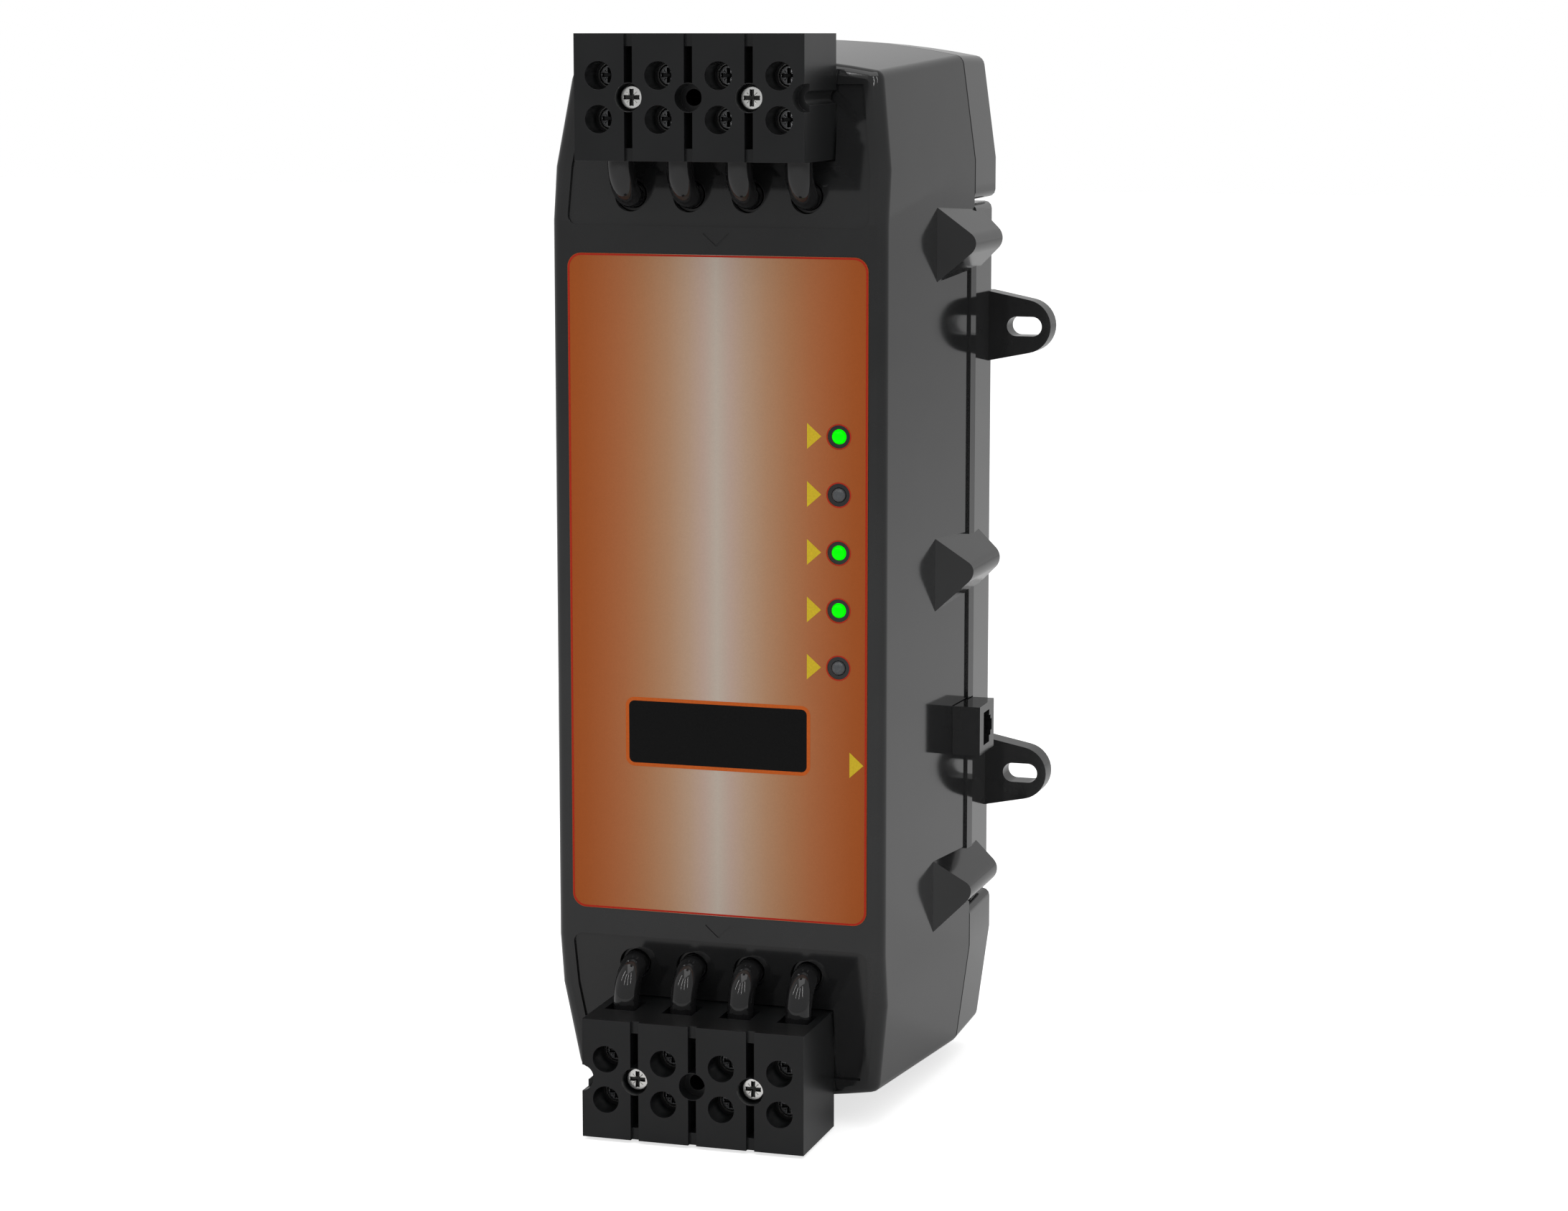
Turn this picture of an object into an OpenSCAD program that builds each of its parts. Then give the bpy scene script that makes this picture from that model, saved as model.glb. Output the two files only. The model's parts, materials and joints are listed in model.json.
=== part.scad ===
// Hard-wired surge protector box with a four-pole terminal block at each end.
// +Z is up, the lid faces -Y, and the wall that it is screwed to is the plane y = 0.
// The origin is the middle of the four ear slots on that wall.

/* [Enclosure] */
// Half the width of the front housing at its rounded front edge
half_width = 48.5; // [48:0.5:52]
// Distance from the wall to the flat front face
face_depth = 107.5; // [107:0.5:112]
// Distance from the wall to the seam between housing and covers
seam_depth = 27.5; // [26:0.5:29]
// Draft of the housing's side walls in degrees
draft_deg = 3.25; // [2:0.25:4]
// Height where the side walls start to taper in towards each end
crease_z = 116.9; // [115:0.1:119]
// Height of the crowned end faces at the middle
crown_z = 147.5; // [147:0.5:150]
// Radius of the crown of the end faces
crown_r = 245; // [200:5:300]
// Height where the front face starts to lean back
lean_z = 102; // [100:1:104]
// Lean of the front face at the ends in degrees
lean_deg = 9.9; // [8:0.1:11]
// Wall thickness of the housing and covers
wall = 2.6; // [2.2:0.1:3]

/* [Terminal blocks] */
// Distance between neighbouring poles
pole_pitch = 17; // [16.5:0.5:18]
// Width of a block
block_w = 65; // [64:0.5:67]
// Depth of a block from its front to its seat
block_d = 30; // [30:0.5:31]
// Height of a block
block_h = 34.1; // [34:0.1:36]
// Height of a block's middle above the middle of the box
block_z = 136.55; // [136:0.05:138]
// Distance between the two screw rows of a block
row_gap = 11.7; // [11:0.1:12.5]

/* [Fixings] */
// Distance between the left and right ear slots
ear_slot_x = 126.6; // [125:0.2:128]
// Distance between the upper and lower ear slots
ear_slot_z = 135; // [130:1:140]
// Width of an ear slot
slot_w = 5.8; // [5:0.1:6.5]
// Length of an ear slot
slot_l = 10.6; // [9:0.1:12]
// Thickness of an ear
ear_t = 7.5; // [6:0.5:8]
// Distance of the outer cover screws from the middle row
boss_z = 94.4; // [92:0.2:95]

/* [Lamps and socket] */
// Distance between neighbouring status lamps
lamp_pitch = 16.1; // [15:0.1:17]
// Height of the top lamp
lamp_top_z = 44.1; // [40:0.1:48]
// Distance of the lamps from the middle of the front
lamp_x = 35.3; // [33:0.1:37]
// Height of the middle of the remote socket, below the middle of the box
jack_z = -48.2; // [-55:0.1:-45]

/* [Hidden] */
SCREWS = [for (s = ["line", "load"], row = ["outer", "inner"], p = [1:4]) str(s, "_", row, "_", p)];

$fn = 48;
gap = 0.1;                      // clearance between pieces that lie in each other
big = 400;                      // longer than anything it cuts

face_y = -face_depth;
seam_y = -seam_depth;
draft = tan(draft_deg);
lean = tan(lean_deg);
edge_r = 3;                     // rounding of the front edges
edge_y = face_y + edge_r;
corner_x = half_width - 3.6;    // where the tapered side meets the crown
corner_r = 3;
crown_steps = 7;
corner_steps = 4;
cavity_end = 1;                 // how far a cavity is cut past its open end

block_front = face_y - 24;
block_seat = block_front + block_d;
row_z = [block_z + row_gap / 2, block_z - row_gap / 2];
screw_hole_r = 3.8;
sleeve_w = 10;
sleeve_h = 27;
sleeve_y = [block_front + 9.6, block_front + 21.6];
sleeve_roof = 2.2;
sleeve_floor = 1.1;
screw_r = 2.98;
screw_top = block_front + 9;
screw_tip = block_front + 14.3;
nose_r = 1.2;
wire_y = block_front + 18;
wire_r = 3.75;
copper_r = 2.35;
wire_hole_z = 109.5;
wire_hole_r = 4.75;
bushing_front = face_y + 4;     // a bushing sits this deep in its hole
front_bend = 9;
rear_bend = 10;
lug_y = -69.5;

partition_z = [103.2, 105.7];
slit_z = [104.4, 105.5];        // gap between the middle cover and an end cover
seam_gap = 0.8;                 // groove between the housing and an end cover
cover_back = -3.5;              // the middle cover stops short of the wall
rim_out = 0.65;
rim_depth = 4.8;
boss_apex = 59.7;
boss_r = 4.2;
boss_slope = [[51, -62.2], [59.9, -52.2]];
boss_back = -20.7;
cover_screw_x = 56.6;
end_screw = [38, 126];
cover_shank_r = 1.48;
cover_shank_l = 24;
cover_head_r = 2.75;
cover_head_h = 2.2;
end_screw_seat = -20;

ear_root = 10.4;
ear_end_r = 8;
board_y = [-51.5, -49.9];
lamp_r = 1.92;
label_t = 0.3;
jack_x = [44, 60.2];
jack_y = [-45.3, -28.5];
jack_h = 14.4;

black = [0.14, 0.14, 0.145];
brass = [0.78, 0.66, 0.36];
steel = [0.72, 0.73, 0.74];

// ---- shape helpers ----

function pole_x(p) = (p - 2.5) * pole_pitch;
function face_at(z) = face_y + max(0, abs(z) - lean_z) * lean;
function lamp_z(n) = lamp_top_z - (n - 1) * lamp_pitch;
function grow(y) = (y - edge_y) * draft;
function unit_at(a) = [cos(a), sin(a)];
function crown_at(x, e) = crown_z + e - x * x / (2 * crown_r);

// Centre of the rounded corner between the tapered side and the crown, e outside the front outline
function corner_centre(e) =
    let (x = corner_x + 0.9 * e, z = crown_at(x, e), side = unit_at(7.7), top = unit_at(79.5))
    [x, z] - corner_r * (side + top) / (1 + side * top);

// Upper right quarter of the front outline, from z_low up to the middle of the crown
function quarter(e, z_low) =
    let (c = corner_centre(e))
    concat([[half_width + e, z_low], [half_width + e, crease_z + 0.07 * e]],
           [for (i = [0:corner_steps]) c + corner_r * unit_at(7.7 + i * 71.8 / corner_steps)],
           [for (i = [1:crown_steps]) let (x = (c[0] - 0.5) * (1 - i / crown_steps)) [x, crown_at(x, e)]]);

function mirror_x(points) = concat(points, [for (p = points) [-p[0], p[1]]]);
function mirror_xz(points) = let (m = mirror_x(points)) concat(m, [for (p = m) [p[0], -p[1]]]);
function at_y(points, y) = [for (p = points) [p[0], y, p[1]]];
function on_face(points, depth) = [for (p = points) [p[0], face_at(p[1]) + depth, p[1]]];

// Convex solid through the given points
module convex(points) {
    hull() polyhedron(points, [[for (i = [0:len(points) - 1]) i]]);
}

// Cylinder along Y from y0 to y1
module rod(r, y0, y1, x = 0, z = 0) {
    translate([x, y0, z]) rotate([-90, 0, 0]) cylinder(r = r, h = y1 - y0);
}

// Block given by its lowest and highest corners
module box(low, high) {
    translate(low) cube(high - low);
}

module at_cover_screws() {
    for (sx = [-1, 1], k = [-1:1]) translate([sx * cover_screw_x, 0, k * boss_z]) children();
}

module at_end_screws(sz) {
    for (sx = [-1, 1]) translate([sx * end_screw[0], 0, sz * end_screw[1]]) children();
}

// Mirrors a piece of the line end to the load end
module load_end() {
    mirror([0, 0, 1]) children();
}

// ---- enclosure ----

module housing_outside() {
    rounding = [for (a = [0, 22.5, 45, 67.5, 90])
        each on_face(mirror_xz(quarter(-edge_r * (1 - sin(a)), lean_z)), edge_r * (1 - cos(a)))];
    convex(concat(rounding, at_y(mirror_xz(quarter(grow(seam_y), lean_z)), seam_y)));
}

module housing_inside() {
    front = on_face(mirror_xz(quarter(-wall, lean_z)), wall);
    y = seam_y + cavity_end;
    convex(concat(front, at_y(mirror_xz(quarter(grow(y) - wall, lean_z)), y)));
}

// Prism of a screw boss along Y, with 45 degree sides and a round edge
module boss(y0, y1, root) {
    c = boss_apex - boss_r;
    s = boss_r * sin(45);
    translate([0, y1, 0]) rotate([90, 0, 0]) linear_extrude(y1 - y0) union() {
        translate([c, 0]) circle(r = boss_r);
        polygon([[root, c + 2 * s - root], [c + s, s], [c + s, -s], [root, root - c - 2 * s]]);
    }
}

module housing_boss() {
    a = boss_slope[0];
    b = boss_slope[1];
    difference() {
        boss(a[1] - 3, seam_y, 50.2);
        translate([a[0], a[1], 0]) rotate([0, 0, atan2(b[1] - a[1], b[0] - a[0])])
            translate([-20, -40, -20]) cube([60, 40, 40]);
        rod(cover_shank_r + 0.02, seam_y - cover_shank_l + 5, seam_y + 1, cover_screw_x);
    }
}

module terminal_recess() {
    corner = 3;
    low = 43.6 - corner;
    translate([0, face_y - 0.2, lean_z]) rotate([-lean_deg, 0, 0]) translate([0, 0, -lean_z])
        translate([0, 1, 0]) rotate([90, 0, 0]) linear_extrude(6) union() {
            polygon([[-43.6, 104], [43.6, 104], [43.2, 117], [40, 140.5], [-40, 140.5], [-43.2, 117]]);
            for (sx = [-1, 1]) translate([sx * low, 104]) circle(r = corner);
            translate([-low, 101]) square([2 * low, 4]);
        }
}

// Stepped rims along both seams, from the upper boss to the lower one
module seam_rims() {
    front = seam_y - rim_depth;
    w = half_width + rim_out;
    for (sx = [0, 1]) mirror([sx, 0, 0]) linear_extrude(2 * boss_z, center = true)
        polygon([[w + grow(seam_y) - 2, front], [w + grow(front), front],
                 [w + grow(seam_y), seam_y], [w + grow(seam_y) - 2, seam_y]]);
}

// Engraved arrow head that points down
module chevron(z) {
    for (sx = [-1, 1]) translate([0, face_y, z]) rotate([0, -sx * 42, 0])
        translate([sx > 0 ? 0 : -5, -1, -0.25]) cube([5, 1.3, 0.5]);
}

module front_housing() {
    seat_half = block_w / 2 + 0.4;
    block_low = block_z - block_h / 2;
    color(black) difference() {
        union() {
            difference() {
                housing_outside();
                difference() {
                    housing_inside();
                    for (sz = [-1, 1]) translate([-60, -big / 2, sz > 0 ? partition_z[0] : -partition_z[1]])
                        cube([120, big, partition_z[1] - partition_z[0]]);
                    // terminal seats, posts for the end covers and for the boards
                    for (m = [0, 1]) mirror([0, 0, m]) {
                        box([-seat_half, block_seat - 1, 117], [seat_half, block_seat + 3, 144.5]);
                        for (j = [-1:1]) rod(4, block_seat, block_seat + 12, j * pole_pitch, block_z);
                        for (p = [1:4]) rod(6.8, face_y, face_y + 6.5, pole_x(p), wire_hole_z);
                        at_end_screws(1) rod(4, face_y, seam_y);
                        for (sx = [-1, 1]) box([sx * 47 - 3, board_y[0] - 3, 66], [sx * 47 + 3, board_y[0] - 0.1, 74]);
                    }
                    for (k = [1.5, 4.5]) rod(2.4, face_y, face_y + 9.4, lamp_x, lamp_z(k));
                }
            }
            // wedges that fill the space between a terminal block's flat seat and the leaning front
            for (m = [0, 1]) mirror([0, 0, m]) box([-32.3, block_seat, 130], [32.3, block_seat + 3, 144]);
            seam_rims();
            for (k = [-1:1]) translate([0, 0, k * boss_z]) {
                housing_boss();
                mirror([1, 0, 0]) housing_boss();
            }
        }
        for (m = [0, 1]) mirror([0, 0, m]) {
            terminal_recess();
            box([-seat_half, block_front, block_low - 0.4], [seat_half, block_seat, big]);
            for (p = [1:4]) rod(wire_hole_r, face_y - 1, face_y + 9, pole_x(p), wire_hole_z);
            for (p = [1:4]) translate([pole_x(p) - 4, lug_y - 8, partition_z[0] - 1]) cube([8, 13, 6]);
            for (j = [-1:1]) rod(1.95, block_seat - 1, block_seat + 9, j * pole_pitch, block_z);
            at_end_screws(1) rod(cover_shank_r + 0.02, end_screw_seat - cover_shank_l, seam_y + 1);
        }
        for (z = [95.8, -99.4]) chevron(z);
        for (n = [1:5]) rod(2.1, face_y - 1, face_y + wall + 1, lamp_x, lamp_z(n));
        box([46, jack_y[0] - 0.2, jack_z - jack_h / 2 - 0.2], [62, seam_y + 1, jack_z + jack_h / 2 + 0.2]);
    }
}

// Corner arc of a cover's outline, centred r inside its lower corner
function low_corner(x, z, r) = [for (a = [-90, -60, -30, 0]) [x - r, z + r] + r * unit_at(a)];

module rear_cover() {
    seam_x = half_width + grow(seam_y) + rim_out;
    back_x = 52.1;
    r = 2.2;
    module slab(in, y0, y1, x0, x1) {
        z = slit_z[0] - in;
        low0 = low_corner(x0 - in, -z, r);
        low1 = low_corner(x1 - in, -z, r);
        convex(concat(at_y(mirror_xz(low0), y0), at_y(mirror_xz(low1), y1)));
    }
    color(black) difference() {
        union() {
            difference() {
                slab(0, seam_y, cover_back, seam_x, back_x);
                slab(wall, seam_y - cavity_end, cover_back - wall, seam_x, back_x);
            }
            for (sx = [0, 1], k = [-1:1]) mirror([sx, 0, 0]) translate([0, 0, k * boss_z])
                boss(seam_y, boss_back, 51.5);
            for (sx = [-1, 1], sz = [-1, 1]) rod(4, board_y[1] + 0.1, cover_back - 1, sx * 38, sz * 70);
            for (sz = [-1, 1]) translate([0, 0, sz * ear_slot_z / 2]) wall_strap();
        }
        at_cover_screws() rod(1.7, seam_y - 1, boss_back + 1);
    }
}

// A strap across the back whose two ends are the slotted ears
module wall_strap() {
    x = ear_slot_x / 2;
    root = 50;
    difference() {
        union() {
            box([-root, cover_back - 1, -ear_root], [root, 0, ear_root]);
            for (sx = [0, 1]) mirror([sx, 0, 0]) rotate([90, 0, 0]) linear_extrude(ear_t) ear_outline(root);
        }
        for (sx = [-1, 1]) translate([sx * x, 0, 0]) rotate([90, 0, 0]) translate([0, 0, -1])
            linear_extrude(ear_t + 2) union() {
                square([slot_l - slot_w, slot_w], center = true);
                for (e = [-1, 1]) translate([e * (slot_l - slot_w) / 2, 0]) circle(d = slot_w);
            }
    }
}

module ear_outline(root) {
    x = ear_slot_x / 2;
    start = 52.2;
    reach = norm([x - start, ear_root]);
    turn = atan2(ear_root, start - x) - acos(ear_end_r / reach);
    steps = 16;
    rounded = [for (i = [0:steps]) [x, 0] + ear_end_r * unit_at(turn - 2 * turn * i / steps)];
    polygon(concat([[root - 4, ear_root], [start, ear_root]], rounded,
                   [[start, -ear_root], [root - 4, -ear_root]]));
}

module line_end_cover() {
    taper = -0.5;
    module part_outline(in, y, e) {
        z = slit_z[1] + in;
        low = low_corner(half_width + e - in, z, 2.2);
        convex(concat(at_y(mirror_x(concat(low, quarter(e - in, z + 3))), y),
                      at_y(mirror_x(concat(low_corner(half_width + e + taper - in, z, 2.2),
                                           quarter(e + taper - in, z + 3))), in > 0 ? -wall : 0)));
    }
    e = grow(seam_y);
    color(black) difference() {
        union() {
            difference() {
                union() {
                    part_outline(0, seam_y + seam_gap, e);
                    part_outline(1.3, seam_y, e);
                }
                part_outline(wall, seam_y - cavity_end, e);
            }
            at_end_screws(1) rod(5, seam_y, -1);
        }
        at_end_screws(1) {
            rod(1.7, seam_y - 1, 0);
            rod(3.6, end_screw_seat, 1);
        }
    }
}

module load_end_cover() {
    load_end() line_end_cover();
}

// Pan head screw whose head's underside is at y = 0 and which points to -Y
module pan_screw(head_r, head_h, shank_r, shank_l, slot_w, slot_l) {
    difference() {
        union() {
            rod(shank_r, -shank_l, 0.1);
            rod(head_r, 0, head_h * 0.65);
            translate([0, head_h * 0.65 - 0.01, 0]) rotate([-90, 0, 0])
                cylinder(r1 = head_r, r2 = head_r * 0.85, h = head_h * 0.35);
        }
        for (a = [0, 90]) rotate([0, a, 0])
            translate([-slot_l / 2, head_h * 0.4, -slot_w / 2]) cube([slot_l, head_h, slot_w]);
    }
}

module cover_screws() {
    color(steel) {
        at_cover_screws() translate([0, boss_back, 0])
            pan_screw(cover_head_r, cover_head_h, cover_shank_r, cover_shank_l, 0.7, 3);
        for (sz = [-1, 1]) at_end_screws(sz) translate([0, end_screw_seat, 0])
            pan_screw(cover_head_r, cover_head_h, cover_shank_r, cover_shank_l - 1, 0.7, 3);
    }
}

module label_overlay() {
    w = 87.2;
    h = 186.5;
    r = 4;
    color([0.6, 0.38, 0.24]) translate([0, face_y, 0]) rotate([90, 0, 0]) linear_extrude(label_t)
        difference() {
            union() {
                square([w - 2 * r, h], center = true);
                square([w, h - 2 * r], center = true);
                for (sx = [-1, 1], sz = [-1, 1]) translate([sx * (w / 2 - r), sz * (h / 2 - r)]) circle(r = r);
            }
            for (n = [1:5]) translate([lamp_x, lamp_z(n)]) circle(d = 6.4);
        }
}

// ---- lamps ----

module status_lamp(n, tint) {
    color(tint) translate([lamp_x, 0, lamp_z(n)]) {
        rod(lamp_r, face_y - 0.2, face_y + 9.4);
        rod(2.5, face_y + wall + 0.3, face_y + wall + 1.3);
        translate([0, face_y - 0.2, 0]) intersection() {
            translate([0, 1.2, 0]) sphere(r = 2.27);
            rod(lamp_r, -2, 0.1);
        }
    }
}

module lamp_board() {
    y = face_y + 9.5;
    color([0.1, 0.35, 0.2]) box([lamp_x - 5, y, lamp_z(5) - 6], [lamp_x + 5, y + 1.6, lamp_z(1) + 6]);
}

// ---- terminal blocks ----

module line_block() {
    low = block_z - block_h / 2;
    color(black) difference() {
        box([-block_w / 2, block_front, low], [block_w / 2, block_seat, low + block_h]);
        for (j = [-1:1]) difference() {
            translate([j * pole_pitch - 1.15, block_front - 1, low]) {
                translate([0, 0, -1]) cube([2.3, 2.2, block_h + 2]);
                translate([0, 0, 3.45]) cube([2.3, 10, block_h - 6.9]);
            }
            rod(screw_hole_r + 0.2, block_front - 2, block_seat, j * pole_pitch, block_z);
        }
        for (j = [-1:1]) translate([j * pole_pitch, 0, block_z]) {
            rod(screw_hole_r, block_front - 1, block_front + 5);
            rod(2.25, block_front, block_seat + 1);
        }
        // half of a cut-away fixing hole, at one end only
        translate([block_w / 2 + 0.4, 0, block_z]) {
            rod(screw_hole_r, block_front - 1, block_front + 5);
            rod(1.9, block_front, block_seat + 1);
        }
        for (p = [1:4]) translate([pole_x(p), 0, 0]) {
            for (z = row_z) {
                rod(screw_hole_r, block_front - 1, block_front + 8.9, 0, z);
                rod(3.2, block_front, sleeve_y[0], 0, z);
            }
            box([-sleeve_w / 2 - gap, sleeve_y[0] - gap, block_z - sleeve_h / 2 - gap],
                [sleeve_w / 2 + gap, sleeve_y[1] + gap, block_z + sleeve_h / 2 + gap]);
            box([-4.5, block_front + 12, low - 1], [4.5, block_front + 21.9, low + block_h + 1]);
        }
    }
}

// The same block turned round, so that its half hole is on the other side
module load_block() {
    rotate([0, 180, 0]) line_block();
}

module line_sleeves() {
    color(brass) for (p = [1:4]) translate([pole_x(p), 0, 0]) difference() {
        box([-sleeve_w / 2, sleeve_y[0], block_z - sleeve_h / 2], [sleeve_w / 2, sleeve_y[1], block_z + sleeve_h / 2]);
        box([-4.1, sleeve_y[0] + sleeve_roof, 0], [4.1, sleeve_y[1] - sleeve_floor, big]);
        for (z = row_z) rod(screw_r + 0.06, sleeve_y[0] - 1, sleeve_y[0] + sleeve_roof + 1, 0, z);
    }
}

module load_sleeves() {
    load_end() line_sleeves();
}

module clamp_screw(p, z) {
    color([0.2, 0.2, 0.21]) translate([pole_x(p), 0, z]) difference() {
        union() {
            rod(screw_r, screw_top + 0.4, screw_tip);
            translate([0, screw_top, 0]) rotate([-90, 0, 0]) cylinder(r1 = screw_r - 0.4, r2 = screw_r, h = 0.4);
            rod(nose_r, screw_tip - 0.1, screw_tip + 0.6);
        }
        for (a = [0, 90]) rotate([0, a, 0]) translate([-2.1, screw_top - 1, -0.5]) cube([4.2, 2.9, 1]);
    }
}

module clamp_saddle(p, z) {
    top = screw_tip + gap;
    color(steel) translate([pole_x(p), 0, z]) difference() {
        box([-3.8, top, -3.6], [3.8, top + 2.2, 3.6]);
        translate([0, wire_y, -10]) cylinder(r = copper_r + 0.3, h = 20);
        rod(nose_r + 0.05, top - 1, top + 0.65);
    }
}

// Height of the screw in a row of a terminal block: the outer row is the one farther from the box
function screw_z(side, row) = (side == "line" ? 1 : -1) * row_z[row == "outer" ? 0 : 1];

module block_screws() {
    color(steel) for (sz = [-1, 1], sx = [-1, 1])
        translate([sx * pole_pitch, block_front + 5, sz * block_z]) rotate([180, 0, 0])
            pan_screw(3.2, 2.2, 1.94, 33, 1, 4.4);
}

// ---- wiring ----

// Quarter bend of a round bar in the plane x = 0, from angle a to a + 90 about the X axis
module bend(r, bend_r, a) {
    rotate([a, 0, 0]) rotate([90, 0, 90]) rotate_extrude(angle = 90) translate([bend_r, 0]) circle(r = r);
}

module line_wire() {
    front_y = wire_y + front_bend;
    rear_y = lug_y - rear_bend;
    turn_z = wire_hole_z + front_bend;
    end_z = wire_hole_z - rear_bend;
    color([0.05, 0.05, 0.055]) {
        translate([0, wire_y, turn_z]) cylinder(r = wire_r, h = 3.1);
        translate([0, front_y, turn_z]) bend(wire_r, front_bend, 180);
        rod(wire_r, front_y, rear_y, 0, wire_hole_z);
        translate([0, rear_y, end_z]) bend(wire_r, rear_bend, 0);
        translate([0, lug_y, end_z - 2]) cylinder(r = wire_r, h = 2);
    }
    color([0.8, 0.45, 0.25]) {
        translate([0, wire_y, turn_z + 3]) cylinder(r = copper_r, h = 14.5);
        translate([0, lug_y, end_z - 11]) cylinder(r = copper_r, h = 9.1);
    }
}

module line_wires() {
    for (p = [1:4]) translate([pole_x(p), 0, 0]) line_wire();
}

module load_wires() {
    load_end() line_wires();
}

module wire_bushings() {
    color([0.09, 0.09, 0.095]) for (m = [0, 1], p = [1:4]) mirror([0, 0, m])
        translate([pole_x(p), 0, wire_hole_z]) difference() {
            rod(wire_hole_r - 0.05, bushing_front, bushing_front + 3.5);
            rod(wire_r + gap, bushing_front - 1, bushing_front + 5);
        }
}

module board_lugs() {
    color(brass) for (sz = [-1, 1], p = [1:4]) translate([pole_x(p), 0, sz * 91]) difference() {
        box([-5.5, lug_y - 5.5, -4.5], [5.5, board_y[0], 4.5]);
        translate([0, lug_y, -10]) cylinder(r = copper_r + 0.05, h = 20);
    }
}

// ---- remote socket ----

module at_contacts() {
    for (k = [0:5]) translate([jack_x[1] - 12.4, 0, jack_z + (k - 2.5) * 1.2]) children();
}

module jack_shell() {
    low = [jack_x[0], jack_y[0], jack_z - jack_h / 2];
    high = [jack_x[1], jack_y[1], jack_z + jack_h / 2];
    color(black) difference() {
        box(low, high);
        box([jack_x[1] - 13, jack_y[0] + 4.5, jack_z - 4.85], [jack_x[1] + 1, jack_y[0] + 11.2, jack_z + 4.85]);
        box([jack_x[1] - 13, jack_y[0] + 11, jack_z - 3], [jack_x[1] + 1, jack_y[0] + 12.8, jack_z + 3]);
        box([jack_x[1] - 13, jack_y[0] + 12.6, jack_z - 1.7], [jack_x[1] + 1, jack_y[0] + 14.3, jack_z + 1.7]);
        at_contacts() rod(0.3, jack_y[0] - 1, jack_y[0] + 5);
    }
}

module jack_contacts() {
    color(brass) at_contacts() {
        rod(0.25, board_y[1] + 0.02, jack_y[0] + 5);
        translate([0, jack_y[0] + 5, 0]) rotate([0, 90, 25]) translate([0, 0, -0.2]) cylinder(r = 0.25, h = 5);
    }
}

// ---- electronics ----

module main_board() {
    color([0.1, 0.35, 0.2]) {
        box([-45, board_y[0], -98], [45, board_y[1], 98]);
        box([40, board_y[0], jack_z - 8], [48.6, board_y[1], jack_z + 8]);
    }
}

module relay(x) {
    color([0.12, 0.2, 0.4]) box([x - 14, board_y[0] - 28, 14], [x + 14, board_y[0], 52]);
}

module relay_a() {
    relay(-17);
}

module relay_b() {
    relay(15);
}

module varistors() {
    color([0.75, 0.45, 0.15]) for (k = [0:5]) translate([-35 + 11 * k, board_y[0] - 12, -8])
        rotate([0, 90, 0]) cylinder(r = 10, h = 4.5, center = true);
    color(steel) for (k = [0:5], s = [-1, 1]) rod(0.4, board_y[0] - 6, board_y[0], -35 + 11 * k, -8 + s * 4);
}

module transformer() {
    color([0.35, 0.35, 0.36]) box([-22, board_y[0] - 34, -66], [22, board_y[0], -52]);
    color([0.85, 0.75, 0.3]) box([-14, board_y[0] - 28, -76], [14, board_y[0] - 6, -66]);
    color([0.85, 0.75, 0.3]) box([-14, board_y[0] - 28, -52], [14, board_y[0] - 6, -42]);
}

// ---- nodes ----

lit = [0, 0.9, 0.1];
unlit = [0.45, 0.46, 0.46];

front_housing();
rear_cover();
line_end_cover();
load_end_cover();
cover_screws();
label_overlay();
status_lamp(1, lit);  // status_lamp_1
status_lamp(2, unlit);  // status_lamp_2
status_lamp(3, lit);  // status_lamp_3
status_lamp(4, lit);  // status_lamp_4
status_lamp(5, unlit);  // status_lamp_5
lamp_board();
line_block();
load_block();
line_sleeves();
load_sleeves();
block_screws();
line_wires();
load_wires();
wire_bushings();
jack_shell();
jack_contacts();
main_board();
board_lugs();
relay_a();
relay_b();
varistors();
transformer();
for (s = ["line", "load"], row = ["outer", "inner"], p = [1:4]) {
    clamp_screw(p, screw_z(s, row));
    clamp_saddle(p, screw_z(s, row));
}
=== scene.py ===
"""Hard-wired surge protector box: materials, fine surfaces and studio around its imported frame.

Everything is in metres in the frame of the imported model: +Z is up along the box, the lid
faces -Y and the wall that the box is screwed to is the plane y = 0.
"""

import json
import logging
import math
from dataclasses import dataclass
from enum import Enum
from types import SimpleNamespace

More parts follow.
